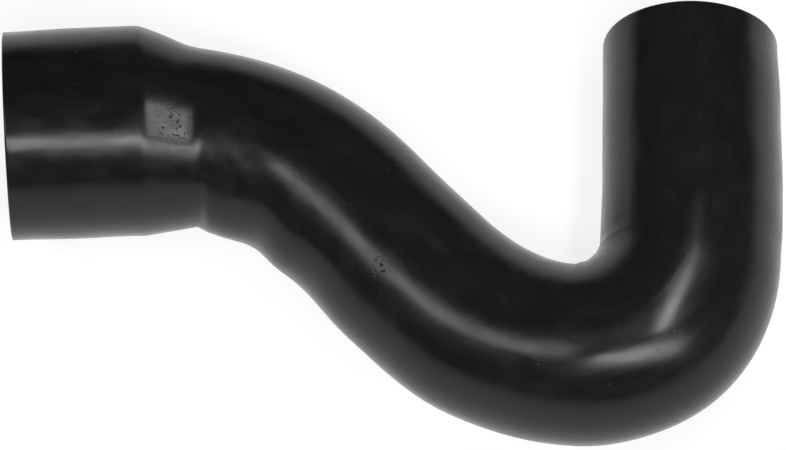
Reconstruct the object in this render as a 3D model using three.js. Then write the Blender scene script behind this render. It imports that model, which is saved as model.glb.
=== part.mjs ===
/*
 * Moulded radiator hose: one piece of black rubber with a wide large end, a short reducer,
 * a long S-bend and a tight last bend into the small end.
 *
 * The hose is turned as a straight blank, given the folds and ripples of its moulding,
 * bent along its course and laid down on the side that it comes to rest on.
 *
 * Units are millimetres and degrees, +Z is up. The hose lies on Z = 0 with the middle of
 * its box over the origin, and its large end heads along +X, seen from above.
 */
import * as THREE from 'three';
import { mergeVertices } from 'three/addons/utils/BufferGeometryUtils.js';
import { ConvexHull } from 'three/addons/math/ConvexHull.js';

// Bores and wall
const LARGE_BORE = 44.5;
const SMALL_BORE = 36;
const WALL = 4.5;

// Large end: its length from the mouth to the reducer, measured along the axis
const LARGE_END_LENGTH = 34;
const REDUCER_LENGTH = 13;
const REDUCER_BOW = 0.35; // fullness of the reducer inside the first bend, as a share of its step
const REDUCER_SOFTNESS = 3; // length to each side of its small end over which it runs out

// Course of the centreline. Each bend has a turn, a radius to the inside of the hose and a
// clock angle: where its inside lies around the hose, counted from the inside of the first.
const FIRST_STRAIGHT = 29.5;
const FIRST_TURN = 52;
const FIRST_INSIDE_RADIUS = 50;
const FIRST_CLOCK = 0;
const MIDDLE_STRAIGHT = 26;
const SECOND_TURN = 41;
const SECOND_INSIDE_RADIUS = 37.5;
const SECOND_CLOCK = 206.5;
const LAST_TURN = 96.5;
const LAST_INSIDE_RADIUS = 2.5;
const LAST_CLOCK = 186;
const LAST_STRAIGHT = 61.5;

// Cut ends
const EDGE_ROUND = 0.5;
const DRAW_LENGTH = 18;
const LARGE_MOUTH_DRAW = 0.3;
const SMALL_MOUTH_DRAW = 0.2;

// Fold at the end of the reducer, inside the first bend
const FOLD_DEPTH = 0.6;
const FOLD_HALF_WIDTH = 3;
const FOLD_REACH = 42; // degrees to each side of the inside of the bend

// Ripples inside the first bend, dying away past the fold
const RIPPLE_HEIGHT = 0.85;
const RIPPLE_PITCH = 25;
const RIPPLE_LEAD = 16; // from the end of the reducer to the far side of the first crest
const RIPPLE_FADE = 45;
const RIPPLE_GRIP = 5; // how closely they keep to the inside of the bend

// Long swell on the outside of the S-bend
const SWELL_HEIGHT = 0.35;
const SWELL_PITCH = 62;

// Rubber gathered inside the last bend, and the waves that it is stretched to outside
const GATHER_HEIGHT = 1.1;
const GATHER_OVERRUN = 9; // length that it runs on past the bend
const STRETCH_HEIGHT = 0.45;
const STRETCH_PITCH = 38;
const STRETCH_LEAD = 20; // from the start of the bend to the first crest

// Sway of the last straight: out past the bend, then back in at the mouth
const SWAY_OUT = 0.3;
const SWAY_IN = 0.45;
const SWAY_LENGTH = 42;

// Attitude in which the hose is held just before it is laid down
const LARGE_END_DIP = 6.3;
const FIRST_BEND_LIFT = 4.2;

// Fineness of the mesh
const SIDES = 40;
const BEND_STEP = 3.5;
const STRAIGHT_STEP = 7;
const BORE_STEP = 6;
const EDGE_STEPS = 2;
const MERGE_TOLERANCE = 1e-4;

const { abs, acos, asin, atan2, ceil, cos, exp, hypot, max, min, sin, PI } = Math;
const { degToRad, lerp, clamp, smoothstep } = THREE.MathUtils;

const LARGE_RADIUS = LARGE_BORE / 2 + WALL;
const HOSE_RADIUS = SMALL_BORE / 2 + WALL;
const REDUCER_END = LARGE_END_LENGTH + REDUCER_LENGTH;

const COURSE = [
  { straight: FIRST_STRAIGHT, turn: FIRST_TURN, inside: FIRST_INSIDE_RADIUS, clock: FIRST_CLOCK },
  { straight: MIDDLE_STRAIGHT, turn: SECOND_TURN, inside: SECOND_INSIDE_RADIUS, clock: SECOND_CLOCK },
  { straight: 0, turn: LAST_TURN, inside: LAST_INSIDE_RADIUS, clock: LAST_CLOCK },
];

/** Bends with their radius, and the stations along the centreline where each starts and ends. */
function measureBends() {
  let station = 0;
  return COURSE.map(({ straight, turn, inside, clock }) => {
    const radius = inside + HOSE_RADIUS;
    const angle = degToRad(turn);
    const start = station + straight;
    station = start + radius * angle;
    return { start, end: station, radius, angle, clock: degToRad(clock) };
  });
}

const BENDS = measureBends();
const [FIRST_BEND, , LAST_BEND] = BENDS;
const HOSE_LENGTH = LAST_BEND.end + LAST_STRAIGHT;

/** Frame of the centreline at the large mouth: its point, its heading and the clock's zero. */
function startFrame() {
  const dip = degToRad(LARGE_END_DIP);
  const lift = degToRad(FIRST_BEND_LIFT);
  const heading = new THREE.Vector3(cos(dip), 0, -sin(dip));
  const zero = new THREE.Vector3(0, -1, 0).applyAxisAngle(heading, -lift);
  return { point: new THREE.Vector3(), heading, zero };
}

/** Moves a frame along its heading. */
function advance(frame, length) {
  return { ...frame, point: frame.point.clone().addScaledVector(frame.heading, length) };
}

/** Carries a frame round a bend by the given angle. */
function turn(frame, bend, angle) {
  const toInside = frame.zero.clone().applyAxisAngle(frame.heading, bend.clock);
  const axis = frame.heading.clone().cross(toInside);
  const centre = frame.point.clone().addScaledVector(toInside, bend.radius);
  const arm = frame.point.clone().sub(centre).applyAxisAngle(axis, angle);
  return {
    point: centre.add(arm),
    heading: frame.heading.clone().applyAxisAngle(axis, angle),
    zero: frame.zero.clone().applyAxisAngle(axis, angle),
  };
}

/** Frame at a station, counted along the centreline from the large mouth. */
function frameAt(station) {
  let frame = startFrame();
  let reached = 0;
  for (const bend of BENDS) {
    if (station <= bend.start) return advance(frame, station - reached);
    frame = advance(frame, bend.start - reached);
    const angle = min(station - bend.start, bend.end - bend.start) / bend.radius;
    frame = turn(frame, bend, angle);
    if (station <= bend.end) return frame;
    reached = bend.end;
  }
  return advance(frame, station - reached);
}

/** How far inside a bend a clock angle lies: 1 at its inside, 0 at its outside. */
function insideShare(clock, bend) {
  return (1 + cos(clock - bend.clock)) / 2;
}

/** A smooth hill: 1 at its middle and 0 beyond its half-width. */
function hill(distance, halfWidth) {
  return 1 - smoothstep(abs(distance), 0, halfWidth);
}

/** Station of a ring of the blank at a clock angle. Near the reducer, rings are square to the large end. */
function squaredStation(ring, clock) {
  const past = (ring - FIRST_BEND.start) / FIRST_BEND.radius;
  if (past <= 0) return ring;
  const level = FIRST_BEND.radius * sin(past);
  const arm = FIRST_BEND.radius - HOSE_RADIUS * cos(clock - FIRST_BEND.clock);
  const square = FIRST_BEND.start + FIRST_BEND.radius * asin(min(level / arm, 1));
  const share = 1 - smoothstep(ring, REDUCER_END, REDUCER_END + RIPPLE_PITCH);
  return lerp(ring, square, share);
}

/** A length past zero, and nothing before it, with the corner between them rounded over the softness. */
function ramp(length, softness) {
  if (abs(length) >= softness) return max(length, 0);
  return (length + softness) ** 2 / (4 * softness);
}

/** Outer radius of the plain blank at a ring. */
function blankRadius(ring) {
  const slope = (LARGE_RADIUS - HOSE_RADIUS) / REDUCER_LENGTH;
  const fromEnd = ramp(REDUCER_END - ring, REDUCER_SOFTNESS);
  const fromCorner = max(LARGE_END_LENGTH - ring, 0);
  return HOSE_RADIUS + slope * (fromEnd - fromCorner);
}

/** Fullness of the reducer inside the first bend. */
function reducerBow(ring, clock) {
  const along = clamp((ring - LARGE_END_LENGTH) / REDUCER_LENGTH, 0, 1);
  const bow = REDUCER_BOW * (LARGE_RADIUS - HOSE_RADIUS) * along * (1 - along * along);
  return bow * insideShare(clock, FIRST_BEND) ** 2;
}

/** Sharp fold inside the first bend, where the reducer ends. */
function fold(ring, clock) {
  const across = max(0, 1 - abs(ring - REDUCER_END) / FOLD_HALF_WIDTH);
  const away = acos(cos(clock - FIRST_BEND.clock));
  return -FOLD_DEPTH * across * hill(away, degToRad(FOLD_REACH));
}

/** Ripples inside the first bend. The first one rises straight out of the fold. */
function ripples(ring, station, clock) {
  const past = max(station - REDUCER_END - RIPPLE_LEAD, 0);
  const rise = clamp((ring - REDUCER_END) / FOLD_HALF_WIDTH, 0, 1);
  const height = RIPPLE_HEIGHT * rise * exp(-past / RIPPLE_FADE);
  const ends = 1 - smoothstep(station, LAST_BEND.start - RIPPLE_PITCH, LAST_BEND.start);
  const grip = insideShare(clock, FIRST_BEND) ** RIPPLE_GRIP;
  return height * ends * cos((2 * PI * past) / RIPPLE_PITCH) * grip;
}

/** Long swell on the outside of the first bend, with a crest one hose radius past the reducer. */
function swell(station, clock) {
  const past = station - REDUCER_END - HOSE_RADIUS;
  const rise = smoothstep(station, LARGE_END_LENGTH, REDUCER_END);
  const ends = 1 - smoothstep(station, LAST_BEND.start, LAST_BEND.end);
  const outside = 1 - insideShare(clock, FIRST_BEND);
  return SWELL_HEIGHT * rise * ends * cos((2 * PI * past) / SWELL_PITCH) * outside;
}

/** Rubber gathered inside the last bend. */
function gather(station, clock) {
  const middle = (LAST_BEND.start + LAST_BEND.end) / 2;
  const halfLength = (LAST_BEND.end - LAST_BEND.start) / 2 + GATHER_OVERRUN;
  return GATHER_HEIGHT * hill(station - middle, halfLength) * insideShare(clock, LAST_BEND) ** 2;
}

/** Waves outside the last bend, with a crest on each side of its middle. */
function stretch(station, clock) {
  const past = station - LAST_BEND.start - STRETCH_LEAD;
  const rise = smoothstep(past, -STRETCH_PITCH / 2, 0);
  const fall = 1 - smoothstep(past, STRETCH_PITCH, STRETCH_PITCH + STRETCH_PITCH / 2);
  const outside = (1 - insideShare(clock, LAST_BEND)) ** 2;
  return STRETCH_HEIGHT * rise * fall * cos((2 * PI * past) / STRETCH_PITCH) * outside;
}

/** Sway of the last straight, as a shift of its outside across the plane of the last bend. */
function sway(station, clock) {
  const out = SWAY_OUT * hill(station - LAST_BEND.end - SWAY_LENGTH / 2, SWAY_LENGTH / 2);
  const back = SWAY_IN * smoothstep(station, HOSE_LENGTH - DRAW_LENGTH, HOSE_LENGTH);
  return (back - out) * cos(clock - LAST_BEND.clock);
}

/** The ends draw in a little towards their cut faces. */
function mouthDraw(ring) {
  const atLarge = 1 - smoothstep(ring, 0, DRAW_LENGTH);
  const atSmall = 1 - smoothstep(HOSE_LENGTH - ring, 0, DRAW_LENGTH);
  return -LARGE_MOUTH_DRAW * atLarge - SMALL_MOUTH_DRAW * atSmall;
}

/** Height of the moulding's marks on the outside of the wall. */
function relief(ring, station, clock) {
  const atReducer = reducerBow(ring, clock) + fold(ring, clock);
  const onFirstBend = ripples(ring, station, clock) + swell(station, clock);
  const onLastBend = gather(station, clock) + stretch(station, clock);
  return atReducer + onFirstBend + onLastBend + sway(station, clock) + mouthDraw(ring);
}

/** Rings between marked stations, no further apart than the step. */
function ringsBetween(marks, step) {
  const sorted = [...marks].sort((a, b) => a - b);
  const rings = [sorted[0]];
  for (let i = 1; i < sorted.length; i += 1) {
    const gap = sorted[i] - sorted[i - 1];
    const count = gap > MERGE_TOLERANCE ? ceil(gap / step) : 0;
    for (let k = 1; k <= count; k += 1) rings.push(sorted[i - 1] + (gap * k) / count);
  }
  return rings;
}

/** Rings of the outside: close together in the bends and at the fold, wider on the straights. */
function outsideRings() {
  const largeEnd = ringsBetween([EDGE_ROUND, LARGE_END_LENGTH], STRAIGHT_STEP);
  const offsets = [-FOLD_HALF_WIDTH, -REDUCER_SOFTNESS, 0, REDUCER_SOFTNESS, FOLD_HALF_WIDTH];
  const endMarks = offsets.map((offset) => REDUCER_END + offset);
  const shaped = ringsBetween([LARGE_END_LENGTH, ...endMarks, LAST_BEND.end], BEND_STEP);
  const smallEnd = ringsBetween([LAST_BEND.end, HOSE_LENGTH - EDGE_ROUND], STRAIGHT_STEP);
  return [...largeEnd, ...shaped.slice(1), ...smallEnd.slice(1)];
}

/** Rounded edge of a cut face: a quarter circle from one corner leg to the other. */
function roundedEdge(centreRadius, centreRing, fromAngle) {
  const points = [];
  for (let k = 0; k <= EDGE_STEPS; k += 1) {
    const angle = fromAngle + (k / EDGE_STEPS) * (PI / 2);
    points.push(new THREE.Vector2(
      centreRadius + EDGE_ROUND * cos(angle),
      centreRing + EDGE_ROUND * sin(angle),
    ));
  }
  return points;
}

/** Wall section of the straight blank, from the large mouth along the outside and back along the bore. */
function wallSection() {
  const outer = outsideRings().map((ring) => new THREE.Vector2(blankRadius(ring), ring));
  const boreMarks = [EDGE_ROUND, LARGE_END_LENGTH, REDUCER_END, HOSE_LENGTH - EDGE_ROUND];
  const boreRings = ringsBetween(boreMarks, BORE_STEP);
  const bore = boreRings.map((ring) => new THREE.Vector2(blankRadius(ring) - WALL, ring));
  const section = [
    ...roundedEdge(LARGE_RADIUS - EDGE_ROUND, EDGE_ROUND, -PI / 2),
    ...outer.slice(1, -1),
    ...roundedEdge(HOSE_RADIUS - EDGE_ROUND, HOSE_LENGTH - EDGE_ROUND, 0),
    ...roundedEdge(HOSE_RADIUS - WALL + EDGE_ROUND, HOSE_LENGTH - EDGE_ROUND, PI / 2),
    ...bore.slice(1, -1).reverse(),
    ...roundedEdge(LARGE_RADIUS - WALL + EDGE_ROUND, EDGE_ROUND, PI),
  ];
  return [...section, section[0].clone()];
}

/** Straight blank as one closed body, its axis along Y. */
function straightBlank() {
  const lathe = new THREE.LatheGeometry(wallSection(), SIDES);
  lathe.deleteAttribute('normal');
  lathe.deleteAttribute('uv');
  return mergeVertices(lathe, MERGE_TOLERANCE);
}

/** Moves every point of the blank to its place on the bent hose. */
function bendBlank(blank) {
  const position = blank.getAttribute('position');
  const point = new THREE.Vector3();
  for (let i = 0; i < position.count; i += 1) {
    point.fromBufferAttribute(position, i);
    const ring = point.y;
    const radius = hypot(point.x, point.z);
    const clock = atan2(point.x, point.z);
    const station = squaredStation(ring, clock);
    const onOutside = radius > blankRadius(ring) - WALL / 2;
    const height = onOutside ? relief(ring, station, clock) : 0;
    const frame = frameAt(station);
    const outward = frame.zero.clone().applyAxisAngle(frame.heading, clock);
    const placed = frame.point.addScaledVector(outward, radius + height);
    position.setXYZ(i, placed.x, placed.y, placed.z);
  }
  return blank;
}

/** Corner points of each triangle of a geometry. */
function trianglesOf(geometry) {
  const position = geometry.getAttribute('position');
  const cornerAt = (i) => new THREE.Vector3().fromBufferAttribute(position, i);
  const corners = Array.from(geometry.index.array, cornerAt);
  const triangles = [];
  for (let i = 0; i < corners.length; i += 3) triangles.push(corners.slice(i, i + 3));
  return triangles;
}

/** Centre of mass of a closed body of one material. */
function centreOfMass(geometry) {
  const centre = new THREE.Vector3();
  let volume = 0;
  for (const [a, b, c] of trianglesOf(geometry)) {
    const part = a.dot(new THREE.Vector3().crossVectors(b, c));
    volume += part;
    centre.addScaledVector(a.clone().add(b).add(c), part / 4);
  }
  return centre.divideScalar(volume);
}

/** Whether a point's foot on a hull face falls on that face. */
function standsOver(face, point) {
  const corners = [face.edge.head().point, face.edge.next.head().point, face.edge.next.next.head().point];
  const foot = point.clone().addScaledVector(face.normal, -face.normal.dot(point.clone().sub(corners[0])));
  return new THREE.Triangle(...corners).containsPoint(foot);
}

/** Lays the body on Z = 0, on the face of its hull that carries it and needs the least turn. */
function layDown(geometry) {
  const position = geometry.getAttribute('position');
  const indices = Array.from({ length: position.count }, (_, i) => i);
  const points = indices.map((i) => new THREE.Vector3().fromBufferAttribute(position, i));
  const weight = centreOfMass(geometry);
  const carrying = new ConvexHull().setFromPoints(points).faces.filter((face) => standsOver(face, weight));
  const lowest = carrying.reduce((best, face) => (face.normal.z < best.normal.z ? face : best));
  const settle = new THREE.Quaternion().setFromUnitVectors(lowest.normal, new THREE.Vector3(0, 0, -1));
  const heading = startFrame().heading.applyQuaternion(settle);
  geometry.applyQuaternion(settle);
  geometry.rotateZ(-atan2(heading.y, heading.x));
  geometry.computeBoundingBox();
  const { min: low, max: high } = geometry.boundingBox;
  return geometry.translate(-(low.x + high.x) / 2, -(low.y + high.y) / 2, -low.z);
}

const rubber = new THREE.MeshStandardMaterial({ color: 0x1b1b1c, roughness: 0.42, metalness: 0 });

const hoseMesh = new THREE.Mesh(layDown(bendBlank(straightBlank())), rubber);
hoseMesh.name = 'hose';

const radiatorHose = new THREE.Group();
radiatorHose.add(hoseMesh);

export default radiatorHose;
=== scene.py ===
"""Looks of a moulded radiator hose: one piece of black rubber, lying on a pale floor.

The fine hose is made the way the solid is: a straight blank, given the marks of its moulding,
bent along its course and laid down. Sizes are in millimetres and degrees until the mesh is
placed, and Blender's own values are in metres. The grip of a mark says how closely it keeps to
one side of its bend, and a softness says how far a corner is rounded.
"""
import math

import bpy
import numpy as np
from mathutils import Euler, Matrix, Quaternion, Vector, noise


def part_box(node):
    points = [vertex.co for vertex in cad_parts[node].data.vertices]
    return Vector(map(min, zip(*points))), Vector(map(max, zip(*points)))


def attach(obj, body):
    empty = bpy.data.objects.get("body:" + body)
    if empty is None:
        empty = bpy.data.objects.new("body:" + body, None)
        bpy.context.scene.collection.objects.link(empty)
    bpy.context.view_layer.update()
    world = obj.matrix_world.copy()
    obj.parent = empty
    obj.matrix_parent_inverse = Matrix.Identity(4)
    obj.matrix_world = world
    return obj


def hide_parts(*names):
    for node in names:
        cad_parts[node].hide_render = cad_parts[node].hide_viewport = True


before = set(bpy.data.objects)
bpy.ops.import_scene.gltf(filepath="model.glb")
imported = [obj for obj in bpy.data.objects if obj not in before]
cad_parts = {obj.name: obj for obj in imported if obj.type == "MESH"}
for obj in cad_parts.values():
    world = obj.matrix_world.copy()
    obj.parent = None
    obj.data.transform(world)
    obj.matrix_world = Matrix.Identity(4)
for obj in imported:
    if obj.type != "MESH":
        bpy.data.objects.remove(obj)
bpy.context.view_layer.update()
MM = 0.001

# Bores and wall
LARGE_BORE = 44.5
SMALL_BORE = 36
WALL = 4.5

# Large end and reducer, along the axis from the large mouth
LARGE_END_LENGTH = 34
REDUCER_LENGTH = 13
REDUCER_BOW = 0.35
BOW_GRIP = 2
CORNER_SOFTNESS = 0.8
REDUCER_SOFTNESS = 4

# Course of the centreline: a straight, then a turn with a radius to the inside of the hose and
# the clock angle of that inside, counted from the inside of the first bend
FIRST_STRAIGHT = 29.5
FIRST_TURN = 52
FIRST_INSIDE_RADIUS = 50
FIRST_CLOCK = 0
MIDDLE_STRAIGHT = 26
SECOND_TURN = 41
SECOND_INSIDE_RADIUS = 37.5
SECOND_CLOCK = 206.5
LAST_TURN = 96.5
LAST_INSIDE_RADIUS = 2.5
LAST_CLOCK = 186
LAST_STRAIGHT = 61.5

# Cut ends
EDGE_ROUND = 0.5
DRAW_LENGTH = 18
LARGE_MOUTH_DRAW = 0.3
SMALL_MOUTH_DRAW = 0.2

# Fold at the end of the reducer, and ripples past it, inside the first bend
FOLD_DEPTH = 0.6
FOLD_HALF_WIDTH = 3
FOLD_REACH = 42
RIPPLE_HEIGHT = 0.85
RIPPLE_PITCH = 25
RIPPLE_LEAD = 16
RIPPLE_FADE = 45
RIPPLE_GRIP = 5

# Long swell on the outside of the S-bend
SWELL_HEIGHT = 0.35
SWELL_PITCH = 62

# Rubber gathered inside the last bend, and waves outside it
GATHER_RADIUS = 5.2
GATHER_GRIP = 9
STRETCH_HEIGHT = 0.45
STRETCH_PITCH = 38
STRETCH_LEAD = 20
STRETCH_GRIP = 2

# Sway of the last straight
SWAY_OUT = 0.3
SWAY_IN = 0.45
SWAY_LENGTH = 42

# Attitude of the large end once the hose has come to rest
LARGE_END_DIP = 6.2501
FIRST_BEND_LIFT = 4.2965

# Unevenness of the moulded surface: height and size of its waves, widest first
UNEVEN_WAVES = ((0.05, 17), (0.03, 6.5), (0.012, 3))
UNEVEN_SEED = Vector((3.1, 7.7, 1.3))

# Fineness of the mesh
SIDES = 176
OUTSIDE_STEP = 0.9
BORE_STEP = 3.5
EDGE_STEPS = 5

# Camera: the photograph's angle, taken as standing about 760 mm away
CAMERA_PLACE = Vector((0.002945, -0.278488, 0.723268))
CAMERA_TURN = (21.7889, 2.2177, -4.5446)
CAMERA_LENS = 137.43
SENSOR_WIDTH = 36

# Pitted spots on the outside: ring, clock angle and how far each reaches
PITTED_SPOTS = ((41, 294, 6), (115.5, 301.5, 4.5))
PIT_SPACING = 1.0
PIT_RADIUS = 0.45
PIT_DEPTH = 0.09

# Grain, streaks along the hose, patches and specks of the rubber's surface, in millimetres
GRAIN_SIZE = 0.5
GRAIN_HEIGHT = 0.004
STREAK_WIDTH = 2.2
STREAK_LENGTH = 26
STREAK_HEIGHT = 0.004
PATCH_WIDTH = 5
PATCH_LENGTH = 10
SPECK_SPACING = 5
SPECK_RADIUS = 0.24
SPECK_HEIGHT = 0.03

# Finer layers in the noise of the grain and the patches, and how much they count
NOISE_DETAIL = 3.0
GRAIN_HARSHNESS = 0.6
PATCH_HARSHNESS = 0.55

# Values of a noise, which runs from 0 to 1, between which the colour and the gloss change
COLOUR_SPREAD = (0.35, 0.65)
GLOSS_SPREAD = (0.3, 0.7)

# How much streaks dull the gloss, and how much specks pale the black
STREAK_DULLNESS = 0.04
SPECK_STRENGTH = 0.5

# Colours and gloss of the rubber
BLACK_COOL = (0.0085, 0.0088, 0.0098, 1)
BLACK_WARM = (0.0110, 0.0110, 0.0108, 1)
CUT_BLACK = (0.0080, 0.0080, 0.0080, 1)
DUST = (0.12, 0.12, 0.12, 1)
GLOSS_RANGE = (0.18, 0.27)
BORE_ROUGHNESS = 0.5
CUT_ROUGHNESS = 0.85
RUBBER_IOR = 1.5
RUBBER_SPECULAR = 0.30

# Floor and studio. The edges of the backdrop and the ceiling are in degrees above the floor. The
# far side's is on a scale from -1 on the camera's side to 1 on the far side.
WHITE = (1, 1, 1, 1)
FLOOR_GREY = (0.28, 0.28, 0.28, 1)
FLOOR_LIFT = 0.82
FLOOR_HALF = 3.0
FLOOR_GAP = 0.02 * MM
BACKDROP_EDGE = (3, 9)
FAR_SIDE = 0.3
FAR_SIDE_EDGE = (-0.3, 0.5)
CEILING_EDGE = (45, 65)
STUDIO_LOW = 0.05
STUDIO_HIGH = 0.01
LAMP_TARGET = Vector((0, 0, 0.02))
WATTS_PER_RADIANCE = 4  # for each square metre of an area lamp

# Sockets of Blender's mix node that hold its share and its colours
MIX_SHARE = 0
MIX_FIRST = 6
MIX_SECOND = 7
MIX_RESULT = 2

LARGE_RADIUS = LARGE_BORE / 2 + WALL
HOSE_RADIUS = SMALL_BORE / 2 + WALL
REDUCER_END = LARGE_END_LENGTH + REDUCER_LENGTH


def smoothstep(value, low, high):
    """0 up to low, 1 from high on, and smooth between them."""
    share = np.clip((value - low) / (high - low), 0, 1)
    return share * share * (3 - 2 * share)


def hill(distance, half_width):
    """1 at the middle and 0 beyond the half-width."""
    return 1 - smoothstep(np.abs(distance), 0, half_width)


def measure_bends():
    """Bends with their radius and the stations where each starts and ends."""
    course = (
        (FIRST_STRAIGHT, FIRST_TURN, FIRST_INSIDE_RADIUS, FIRST_CLOCK),
        (MIDDLE_STRAIGHT, SECOND_TURN, SECOND_INSIDE_RADIUS, SECOND_CLOCK),
        (0, LAST_TURN, LAST_INSIDE_RADIUS, LAST_CLOCK),
    )
    bends = []
    station = 0
    for straight, turn, inside, clock in course:
        radius = inside + HOSE_RADIUS
        start = station + straight
        station = start + radius * math.radians(turn)
        bend = {"start": start, "end": station, "radius": radius, "clock": math.radians(clock)}
        bends.append(bend)
    return bends


BENDS = measure_bends()
FIRST_BEND, _, LAST_BEND = BENDS
HOSE_LENGTH = LAST_BEND["end"] + LAST_STRAIGHT


def turned(vector, axis, angle):
    """A vector at right angles to a unit axis, turned about it."""
    return vector * math.cos(angle) + np.cross(axis, vector) * math.sin(angle)


def start_frame():
    """Frame at the large mouth: its point, its heading and the clock's zero."""
    dip = math.radians(LARGE_END_DIP)
    heading = np.array((math.cos(dip), 0, -math.sin(dip)))
    zero = turned(np.array((0.0, -1.0, 0.0)), heading, -math.radians(FIRST_BEND_LIFT))
    return np.zeros(3), heading, zero


def straight_ahead(start, lengths):
    """Frames carried straight ahead by each length."""
    point, heading, zero = start
    lengths = lengths[:, None]
    return point + heading * lengths, heading + 0 * lengths, zero + 0 * lengths


def round_bend(start, bend, lengths):
    """Frames carried round a bend by each length along the centreline."""
    point, heading, zero = start
    inward = turned(zero, heading, bend["clock"])
    axis = np.cross(heading, inward)
    angle = (lengths / bend["radius"])[:, None]
    side = inward * np.cos(angle) - heading * np.sin(angle)
    points = point + bend["radius"] * (inward * (1 - np.cos(angle)) + heading * np.sin(angle))
    headings = heading * np.cos(angle) + inward * np.sin(angle)
    return points, headings, axis * zero.dot(axis) + side * zero.dot(inward)


def frames_at(stations):
    """Points, headings and clock zeros of the centreline at each station."""
    start = start_frame()
    reached = 0
    parts = []
    for bend in BENDS:
        parts.append((reached, straight_ahead(start, stations - reached)))
        straight = np.array([bend["start"] - reached])
        start = tuple(row[0] for row in straight_ahead(start, straight))
        parts.append((bend["start"], round_bend(start, bend, stations - bend["start"])))
        around = np.array([bend["end"] - bend["start"]])
        start = tuple(row[0] for row in round_bend(start, bend, around))
        reached = bend["end"]
    parts.append((reached, straight_ahead(start, stations - reached)))
    result = [rows.copy() for rows in parts[0][1]]
    for begins, rows in parts[1:]:
        past = stations > begins
        for kept, row in zip(result, rows):
            kept[past] = row[past]
    return result


def inside_share(clock, bend):
    """How far inside a bend a clock angle lies: 1 at its inside, 0 at its outside."""
    return (1 + np.cos(clock - bend["clock"])) / 2


def squared_station(ring, clock):
    """Station of a ring of the blank, once rings near the reducer are square to the large end."""
    radius = FIRST_BEND["radius"]
    past = np.maximum(ring - FIRST_BEND["start"], 0) / radius
    arm = radius - HOSE_RADIUS * np.cos(clock - FIRST_BEND["clock"])
    square = FIRST_BEND["start"] + radius * np.arcsin(np.minimum(radius * np.sin(past) / arm, 1))
    share = 1 - smoothstep(ring, REDUCER_END, REDUCER_END + RIPPLE_PITCH)
    share = np.where(past > 0, share, 0)
    return ring + (square - ring) * share


def ramp(length, softness):
    """The length itself past zero and nothing before, with its corner rounded over the softness."""
    rounded = (length + softness) ** 2 / (4 * softness)
    return np.where(np.abs(length) < softness, rounded, np.maximum(length, 0))


def blank_radius(ring):
    """Outer radius of the plain blank."""
    slope = (LARGE_RADIUS - HOSE_RADIUS) / REDUCER_LENGTH
    from_end = ramp(REDUCER_END - ring, REDUCER_SOFTNESS)
    from_corner = ramp(LARGE_END_LENGTH - ring, CORNER_SOFTNESS)
    return HOSE_RADIUS + slope * (from_end - from_corner)


def reducer_bow(ring, clock):
    """Fullness of the reducer inside the first bend."""
    along = np.clip((ring - LARGE_END_LENGTH) / REDUCER_LENGTH, 0, 1)
    bow = REDUCER_BOW * (LARGE_RADIUS - HOSE_RADIUS) * along * (1 - along * along)
    return bow * inside_share(clock, FIRST_BEND) ** BOW_GRIP


def fold(ring, clock):
    """Sharp fold inside the first bend, where the reducer ends."""
    across = np.maximum(0, 1 - np.abs(ring - REDUCER_END) / FOLD_HALF_WIDTH)
    away = np.arccos(np.clip(np.cos(clock - FIRST_BEND["clock"]), -1, 1))
    return -FOLD_DEPTH * across * hill(away, math.radians(FOLD_REACH))


def ripples(ring, station, clock):
    """Ripples inside the first bend, the first one straight out of the fold."""
    past = np.maximum(station - REDUCER_END - RIPPLE_LEAD, 0)
    rise = np.clip((ring - REDUCER_END) / FOLD_HALF_WIDTH, 0, 1)
    ends = 1 - smoothstep(station, LAST_BEND["start"] - RIPPLE_PITCH, LAST_BEND["start"])
    height = RIPPLE_HEIGHT * rise * ends * np.exp(-past / RIPPLE_FADE)
    wave = np.cos(2 * np.pi * past / RIPPLE_PITCH)
    return height * wave * inside_share(clock, FIRST_BEND) ** RIPPLE_GRIP


def swell(station, clock):
    """Long swell on the outside of the first bend."""
    past = station - REDUCER_END - HOSE_RADIUS
    rise = smoothstep(station, LARGE_END_LENGTH, REDUCER_END)
    ends = 1 - smoothstep(station, LAST_BEND["start"], LAST_BEND["end"])
    outside = 1 - inside_share(clock, FIRST_BEND)
    return SWELL_HEIGHT * rise * ends * np.cos(2 * np.pi * past / SWELL_PITCH) * outside


def gather(station, clock):
    """Rubber gathered inside the last bend, which fills its tight inside to a larger round.

    That round touches the straights at both ends. Its centre lies apart from the bend's own, from
    which reach is measured to it, and touch is how far past the bend it meets a straight.
    """
    half_turn = math.radians(LAST_TURN) / 2
    more = GATHER_RADIUS - LAST_INSIDE_RADIUS
    middle = (LAST_BEND["start"] + LAST_BEND["end"]) / 2
    from_middle = np.abs(station - middle) / LAST_BEND["radius"]
    turn = np.minimum(from_middle, half_turn)
    apart = more / math.cos(half_turn)
    reach = np.sqrt(GATHER_RADIUS ** 2 - (apart * np.sin(turn)) ** 2) - apart * np.cos(turn)
    touch = more * math.tan(half_turn)
    past = np.clip(touch - (from_middle - half_turn) * LAST_BEND["radius"], 0, touch)
    beyond = GATHER_RADIUS - np.sqrt(GATHER_RADIUS ** 2 - past ** 2)
    height = np.where(from_middle < half_turn, LAST_INSIDE_RADIUS - reach, beyond)
    return height * inside_share(clock, LAST_BEND) ** GATHER_GRIP


def stretch(station, clock):
    """Waves outside the last bend."""
    past = station - LAST_BEND["start"] - STRETCH_LEAD
    rise = smoothstep(past, -STRETCH_PITCH / 2, 0)
    fall = 1 - smoothstep(past, STRETCH_PITCH / 2, STRETCH_PITCH)
    outside = (1 - inside_share(clock, LAST_BEND)) ** STRETCH_GRIP
    return STRETCH_HEIGHT * rise * fall * np.cos(2 * np.pi * past / STRETCH_PITCH) * outside


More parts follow.
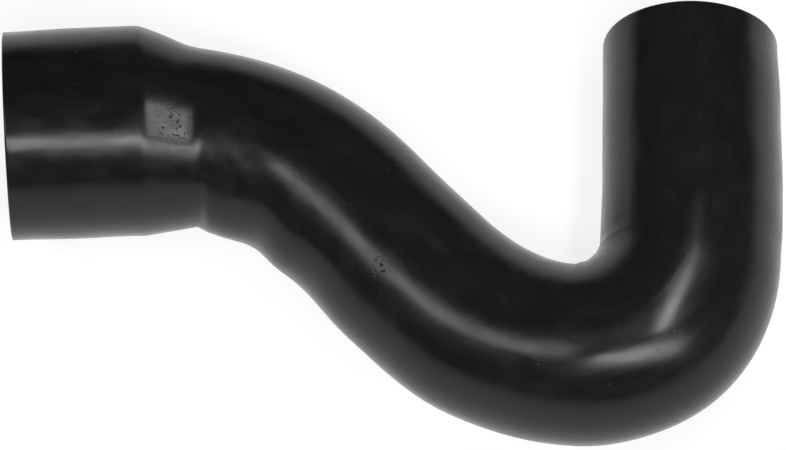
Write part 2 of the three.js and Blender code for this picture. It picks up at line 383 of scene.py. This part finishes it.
def sway(station, clock):
    """Sway of the last straight: away from the inside of its bend, and back in at the mouth."""
    out = SWAY_OUT * hill(station - LAST_BEND["end"] - SWAY_LENGTH / 2, SWAY_LENGTH / 2)
    back = SWAY_IN * smoothstep(station, HOSE_LENGTH - DRAW_LENGTH, HOSE_LENGTH)
    return (back - out) * np.cos(clock - LAST_BEND["clock"])


def mouth_draw(ring):
    """The ends draw in a little towards their cut faces."""
    at_large = 1 - smoothstep(ring, 0, DRAW_LENGTH)
    at_small = 1 - smoothstep(HOSE_LENGTH - ring, 0, DRAW_LENGTH)
    return -LARGE_MOUTH_DRAW * at_large - SMALL_MOUTH_DRAW * at_small


def unevenness(blank):
    """Slight waves of a moulded surface, worked out on the straight blank."""
    height = np.zeros(len(blank))
    for amount, size in UNEVEN_WAVES:
        height += [amount * noise.noise(Vector(point) / size + UNEVEN_SEED) for point in blank]
    return height


def rings_between(marks, step):
    """Rings between marked stations, no further apart than the step."""
    rings = [marks[0]]
    for low, high in zip(marks, marks[1:]):
        count = math.ceil((high - low) / step)
        rings += [low + (high - low) * k / count for k in range(1, count + 1)]
    return rings


def rounded_edge(centre_radius, centre_ring, from_angle):
    """Quarter circle of a cut face's edge, as radius and ring."""
    angles = [from_angle + math.pi / 2 * k / EDGE_STEPS for k in range(EDGE_STEPS + 1)]
    corners = [(math.cos(angle), math.sin(angle)) for angle in angles]
    return [(centre_radius + EDGE_ROUND * x, centre_ring + EDGE_ROUND * y) for x, y in corners]


def wall_section():
    """Wall section of the blank as radius, ring and bore, along the outside and back inside."""
    far = HOSE_LENGTH - EDGE_ROUND
    outer = rings_between([EDGE_ROUND, LARGE_END_LENGTH, REDUCER_END, far], OUTSIDE_STEP)
    bore = rings_between([EDGE_ROUND, LARGE_END_LENGTH, REDUCER_END, far], BORE_STEP)
    outside = (
        rounded_edge(LARGE_RADIUS - EDGE_ROUND, EDGE_ROUND, -math.pi / 2)
        + [(float(blank_radius(ring)), ring) for ring in outer[1:-1]]
        + rounded_edge(HOSE_RADIUS - EDGE_ROUND, far, 0)
    )
    inside = (
        rounded_edge(HOSE_RADIUS - WALL + EDGE_ROUND, far, math.pi / 2)
        + [(float(blank_radius(ring)) - WALL, ring) for ring in reversed(bore[1:-1])]
        + rounded_edge(LARGE_RADIUS - WALL + EDGE_ROUND, EDGE_ROUND, math.pi)
    )
    return np.array([(*point, 0) for point in outside] + [(*point, 1) for point in inside])


def straight_blank():
    """Points of the blank: radius, ring, share of the bore and clock, one row for each point."""
    section = wall_section()
    clocks = np.arange(SIDES) * 2 * np.pi / SIDES
    rows = np.repeat(section, SIDES, axis=0)
    return rows[:, 0], rows[:, 1], rows[:, 2], np.tile(clocks, len(section))


def relief(ring, station, clock, blank):
    """Height of the moulding's marks on the outside of the wall."""
    at_reducer = reducer_bow(ring, clock) + fold(ring, clock)
    on_first_bend = ripples(ring, station, clock) + swell(station, clock)
    on_last_bend = gather(station, clock) + stretch(station, clock)
    at_ends = sway(station, clock) + mouth_draw(ring)
    return at_reducer + on_first_bend + on_last_bend + at_ends + unevenness(blank)


def blank_points(radius, ring, clock):
    """The blank's own straight coordinates, with its axis along Z."""
    return np.stack((radius * np.cos(clock), radius * np.sin(clock), ring), axis=1)


def bent_points(radius, ring, in_bore, clock):
    """Places of the blank's points on the hose once it is bent and laid down."""
    station = squared_station(ring, clock)
    blank = blank_points(radius, ring, clock)
    height = np.where(in_bore > 0, 0, relief(ring, station, clock, blank))
    points, headings, zeros = frames_at(station)
    sides = np.cross(headings, zeros)
    outward = zeros * np.cos(clock)[:, None] + sides * np.sin(clock)[:, None]
    return points + outward * (radius + height)[:, None]


def set_into_box(points, low, high):
    """Sets the points into the solid's box, as finer facets would stand a hair proud of it."""
    mine_low = points.min(axis=0)
    mine_high = points.max(axis=0)
    return low + (points - mine_low) * (high - low) / (mine_high - mine_low)


def pitted_share(blank):
    """1 in the middle of the pitted spots and 0 beyond them."""
    share = np.zeros(len(blank))
    for ring, clock, reach in PITTED_SPOTS:
        ring, clock = np.array([ring]), np.array([math.radians(clock)])
        middle = blank_points(blank_radius(ring), ring, clock)
        share = np.maximum(share, hill(np.linalg.norm(blank - middle, axis=1), reach))
    return share


def tube_faces(loops):
    """Four-sided faces between neighbouring loops, closed round the wall's section."""
    faces = []
    for k in range(loops):
        here = k * SIDES
        there = (k + 1) % loops * SIDES
        for i in range(SIDES):
            j = (i + 1) % SIDES
            faces.append((here + i, here + j, there + j, there + i))
    return faces


def store_vectors(mesh, name, rows):
    """Keeps one vector for each point of a mesh, for its material to read."""
    attribute = mesh.attributes.new(name, "FLOAT_VECTOR", "POINT")
    attribute.data.foreach_set("vector", np.asarray(rows, dtype=np.float32).ravel())


def build_hose():
    """The fine hose, in the solid's place."""
    radius, ring, in_bore, clock = straight_blank()
    points = bent_points(radius, ring, in_bore, clock) * MM
    low, high = (np.array(corner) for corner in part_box("hose"))
    points = set_into_box(points, low, high)
    mesh = bpy.data.meshes.new("moulded_hose")
    mesh.from_pydata(points.tolist(), [], tube_faces(len(ring) // SIDES))
    mesh.shade_smooth()
    blank = blank_points(radius, ring, clock)
    at_cut = np.where((ring <= 0) | (ring >= HOSE_LENGTH), 1, 0)
    store_vectors(mesh, "blank", blank)
    store_vectors(mesh, "zone", np.stack((in_bore, at_cut, pitted_share(blank)), axis=1))
    hose = bpy.data.objects.new("moulded_hose", mesh)
    bpy.context.scene.collection.objects.link(hose)
    return hose


def add_node(tree, kind, inputs=None, **settings):
    """A node with its settings, and its inputs linked to a socket or set to a value."""
    made = tree.nodes.new(kind)
    for name, value in settings.items():
        setattr(made, name, value)
    for name, value in (inputs or {}).items():
        if isinstance(value, bpy.types.NodeSocket):
            tree.links.new(value, made.inputs[name])
        else:
            made.inputs[name].default_value = value
    return made


def new_material(name):
    """An empty material and its node tree."""
    material = bpy.data.materials.new(name)
    material.use_nodes = True
    material.node_tree.nodes.clear()
    return material, material.node_tree


def math_node(tree, operation, first, second):
    """Result of one operation on two values or sockets."""
    return add_node(tree, "ShaderNodeMath", {0: first, 1: second}, operation=operation).outputs[0]


def ranged(tree, value, from_low, from_high, to_low, to_high):
    """A value carried smoothly from one range to another."""
    inputs = {
        "Value": value,
        "From Min": from_low, "From Max": from_high,
        "To Min": to_low, "To Max": to_high,
    }
    return add_node(tree, "ShaderNodeMapRange", inputs, interpolation_type="SMOOTHSTEP").outputs[0]


def blended(tree, share, first, second):
    """A colour between two others."""
    inputs = {MIX_SHARE: share, MIX_FIRST: first, MIX_SECOND: second}
    return add_node(tree, "ShaderNodeMix", inputs, data_type="RGBA").outputs[MIX_RESULT]


def stretched(tree, vector, across, along):
    """The blank's coordinates, shrunk so that a noise has this size across and along the hose."""
    scale = (1 / across, 1 / across, 1 / along)
    return add_node(tree, "ShaderNodeMapping", {"Vector": vector, "Scale": scale}).outputs[0]


def noise_node(tree, vector, detail=2.0, roughness=0.5):
    """Smooth noise with features about one unit wide."""
    inputs = {"Vector": vector, "Scale": 1.0, "Detail": detail, "Roughness": roughness}
    return add_node(tree, "ShaderNodeTexNoise", inputs).outputs[0]


def dots(tree, vector, spacing, radius):
    """Round dots scattered through the blank: 1 at their middle and 0 past their radius."""
    spaced = stretched(tree, vector, spacing, spacing)
    cells = add_node(tree, "ShaderNodeTexVoronoi", {"Vector": spaced, "Scale": 1.0})
    return ranged(tree, cells.outputs["Distance"], 0, radius / spacing, 1, 0)


def bumped(tree, height, amount, normal=None):
    """A normal raised by a height of 0 to 1 times an amount in millimetres."""
    inputs = {"Strength": 1.0, "Distance": amount * MM, "Height": height}
    if normal is not None:
        inputs["Normal"] = normal
    return add_node(tree, "ShaderNodeBump", inputs).outputs[0]


def rubber_material():
    """Black moulded rubber: glossy outside, duller in the bore and matt where it was cut."""
    material, tree = new_material("rubber_black")
    blank = add_node(tree, "ShaderNodeAttribute", attribute_name="blank").outputs["Vector"]
    zone = add_node(tree, "ShaderNodeAttribute", attribute_name="zone").outputs["Vector"]
    bore, cut, pitted = add_node(tree, "ShaderNodeSeparateXYZ", {0: zone}).outputs

    grained = stretched(tree, blank, GRAIN_SIZE, GRAIN_SIZE)
    grain = noise_node(tree, grained, NOISE_DETAIL, GRAIN_HARSHNESS)
    streaks = noise_node(tree, stretched(tree, blank, STREAK_WIDTH, STREAK_LENGTH))
    patched = stretched(tree, blank, PATCH_WIDTH, PATCH_LENGTH)
    patches = noise_node(tree, patched, NOISE_DETAIL, PATCH_HARSHNESS)
    specks = dots(tree, blank, SPECK_SPACING, SPECK_RADIUS)
    pits = math_node(tree, "MULTIPLY", dots(tree, blank, PIT_SPACING, PIT_RADIUS), pitted)

    shade = blended(tree, ranged(tree, patches, *COLOUR_SPREAD, 0, 1), BLACK_COOL, BLACK_WARM)
    shade = blended(tree, math_node(tree, "MULTIPLY", specks, SPECK_STRENGTH), shade, DUST)
    shade = blended(tree, cut, shade, CUT_BLACK)

    rough = ranged(tree, patches, *GLOSS_SPREAD, *GLOSS_RANGE)
    dulled = ranged(tree, streaks, *GLOSS_SPREAD, 0, STREAK_DULLNESS)
    rough = math_node(tree, "ADD", rough, dulled)
    rough = math_node(tree, "MAXIMUM", rough, math_node(tree, "MULTIPLY", bore, BORE_ROUGHNESS))
    rough = math_node(tree, "MAXIMUM", rough, math_node(tree, "MULTIPLY", cut, CUT_ROUGHNESS))

    normal = bumped(tree, grain, GRAIN_HEIGHT)
    normal = bumped(tree, streaks, STREAK_HEIGHT, normal)
    normal = bumped(tree, math_node(tree, "SUBTRACT", 1, pits), PIT_DEPTH, normal)
    normal = bumped(tree, specks, SPECK_HEIGHT, normal)

    shader = add_node(tree, "ShaderNodeBsdfPrincipled", {
        "Base Color": shade, "Roughness": rough, "Normal": normal,
        "IOR": RUBBER_IOR, "Specular IOR Level": RUBBER_SPECULAR,
    })
    add_node(tree, "ShaderNodeOutputMaterial", {"Surface": shader.outputs[0]})
    return material


def seen_share(tree):
    """1 for what is seen directly, mirrored or through glass, and 0 for light on other things."""
    path = add_node(tree, "ShaderNodeLightPath").outputs
    mirrored = math_node(tree, "MAXIMUM", path["Is Camera Ray"], path["Is Glossy Ray"])
    return math_node(tree, "MAXIMUM", mirrored, path["Is Transmission Ray"])


def floor_material():
    """Matt pale floor that keeps the hose's shadow and is seen as plain white around it."""
    material, tree = new_material("floor_white")
    matt = add_node(tree, "ShaderNodeBsdfDiffuse", {"Color": FLOOR_GREY})
    lift = math_node(tree, "MULTIPLY", seen_share(tree), FLOOR_LIFT)
    glow = add_node(tree, "ShaderNodeEmission", {"Color": WHITE, "Strength": lift})
    both = add_node(tree, "ShaderNodeAddShader", {0: matt.outputs[0], 1: glow.outputs[0]})
    add_node(tree, "ShaderNodeOutputMaterial", {"Surface": both.outputs[0]})
    return material


def build_floor():
    """A wide plain floor just under the hose."""
    mesh = bpy.data.meshes.new("floor")
    signs = ((-1, -1), (1, -1), (1, 1), (-1, 1))
    corners = [(x * FLOOR_HALF, y * FLOOR_HALF, -FLOOR_GAP) for x, y in signs]
    mesh.from_pydata(corners, [], [(0, 1, 2, 3)])
    floor = bpy.data.objects.new("floor", mesh)
    bpy.context.scene.collection.objects.link(floor)
    floor.data.materials.append(floor_material())
    return floor


def softbox(name, azimuth, elevation, distance, width, height, roll, radiance):
    """A flat lamp that faces the middle of the hose, turned about that line by its roll.

    Angles are in degrees and lengths in metres. The azimuth is counted from the far side of the
    floor towards the right.
    """
    turn = math.radians(azimuth)
    tilt = math.radians(elevation)
    level = math.cos(tilt)
    towards = Vector((math.sin(turn) * level, math.cos(turn) * level, math.sin(tilt)))
    data = bpy.data.lights.new(name, "AREA")
    data.shape = "RECTANGLE"
    data.size = width
    data.size_y = height
    data.energy = radiance * WATTS_PER_RADIANCE * width * height
    lamp = bpy.data.objects.new(name, data)
    lamp.location = LAMP_TARGET + towards * distance
    facing = towards.to_track_quat("Z", "Y") @ Quaternion((0, 0, 1), math.radians(roll))
    lamp.rotation_euler = facing.to_euler()
    lamp.visible_camera = False
    bpy.context.scene.collection.objects.link(lamp)


def sky_heights(angles):
    """Heights of a direction of length 1 at angles above the floor, in degrees."""
    return [math.sin(math.radians(angle)) for angle in angles]


def light_world():
    """A dim studio, with a white backdrop low around the floor, dimmer on the far side."""
    world = bpy.data.worlds.new("studio")
    bpy.context.scene.world = world
    world.use_nodes = True
    tree = world.node_tree
    tree.nodes.clear()
    direction = add_node(tree, "ShaderNodeTexCoord").outputs["Generated"]
    _, forth, height = add_node(tree, "ShaderNodeSeparateXYZ", {0: direction}).outputs
    backdrop = ranged(tree, height, *sky_heights(BACKDROP_EDGE), 1, STUDIO_LOW)
    far_side = ranged(tree, forth, *FAR_SIDE_EDGE, 1, FAR_SIDE)
    backdrop = math_node(tree, "MULTIPLY", backdrop, far_side)
    ceiling = ranged(tree, height, *sky_heights(CEILING_EDGE), 0, 1)
    dimmed = math_node(tree, "MULTIPLY", ceiling, STUDIO_LOW - STUDIO_HIGH)
    strength = math_node(tree, "SUBTRACT", backdrop, dimmed)
    background = add_node(tree, "ShaderNodeBackground", {"Color": WHITE, "Strength": strength})
    add_node(tree, "ShaderNodeOutputWorld", {"Surface": background.outputs[0]})


def place_camera():
    """The camera at the photograph's angle."""
    data = bpy.data.cameras.new("camera")
    data.lens = CAMERA_LENS
    data.sensor_width = SENSOR_WIDTH
    camera = bpy.data.objects.new("camera", data)
    camera.location = CAMERA_PLACE
    camera.rotation_euler = Euler([math.radians(angle) for angle in CAMERA_TURN], "XYZ")
    bpy.context.scene.collection.objects.link(camera)
    bpy.context.scene.camera = camera


place_camera()
light_world()
softbox("softbox_left", azimuth=-101, elevation=56, distance=1.063,
        width=0.28, height=0.52, roll=-46, radiance=4.3)
softbox("softbox_right", azimuth=97.7, elevation=65.8, distance=0.257,
        width=0.167, height=0.034, roll=4.4, radiance=11)
softbox("softbox_front", azimuth=164, elevation=54, distance=1.2,
        width=1.0, height=0.22, roll=-30.5, radiance=9.5)
build_floor()

hose = build_hose()
hose.data.materials.append(rubber_material())
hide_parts("hose")
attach(hose, "root")

bpy.context.scene.view_settings.view_transform = "Standard"
